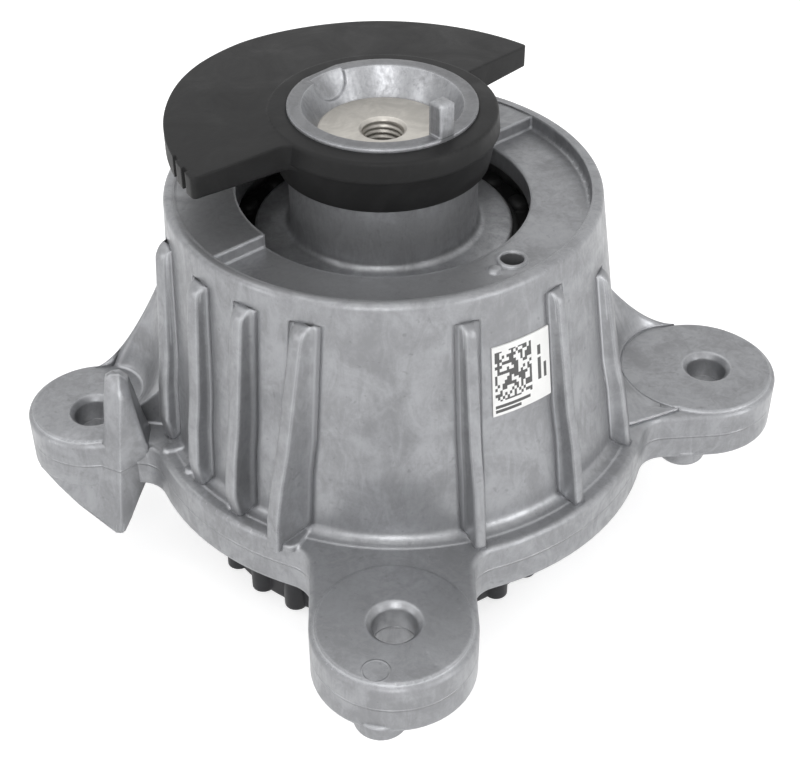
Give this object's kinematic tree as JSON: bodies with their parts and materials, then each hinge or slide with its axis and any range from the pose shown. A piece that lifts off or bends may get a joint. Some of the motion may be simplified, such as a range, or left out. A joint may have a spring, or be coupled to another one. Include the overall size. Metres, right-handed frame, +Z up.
{
  "type": "engine mount",
  "caption": "Fluid-filled engine mount: die-cast bell with bolt lugs, sprung cast core with rubber collar and shield, black bottom cover.",
  "frame": {"origin": "where the core's axis meets the flat floor of the bottom cover, on which the loose part stands", "axes": "+Z up along the core's axis, +X towards the longer side lug, -Y towards the front lug"},
  "size_m": [0.2083, 0.1796, 0.1393],
  "materials": {
    "cast": "as-cast, slightly mottled grey",
    "core_cast": "as-cast with machined ring",
    "insert": "plain turned, faintly warm",
    "rubber": "matt black moulded",
    "spring_rubber": "matt black natural rubber",
    "plate": "plain",
    "steel": "zinc phosphate grey",
    "cover": "black glass-filled",
    "label": null
  },
  "bodies": {
    "housing_body": {"housing": "cast", "spring_ring": "steel", "main_spring": "spring_rubber", "upper_channel_plate": "plate", "lower_channel_plate": "plate", "decoupler": "rubber", "diaphragm": "rubber", "bottom_cover": "cover", "retaining_ring": "steel", "label": "label"},
    "core_body": {"core": "core_cast", "thread_insert": "insert", "fill_plug": "steel", "stop_collar": "rubber", "rebound_buffer": "rubber"}
  },
  "joints": [
    {"name": "core_travel", "type": "slide", "parent": "housing_body", "child": "core_body", "axis": [0, 0, 1], "range_m": [-0.01, 0.004], "stiffness_N_per_m": 220000, "deforming": ["main_spring"]}
  ]
}
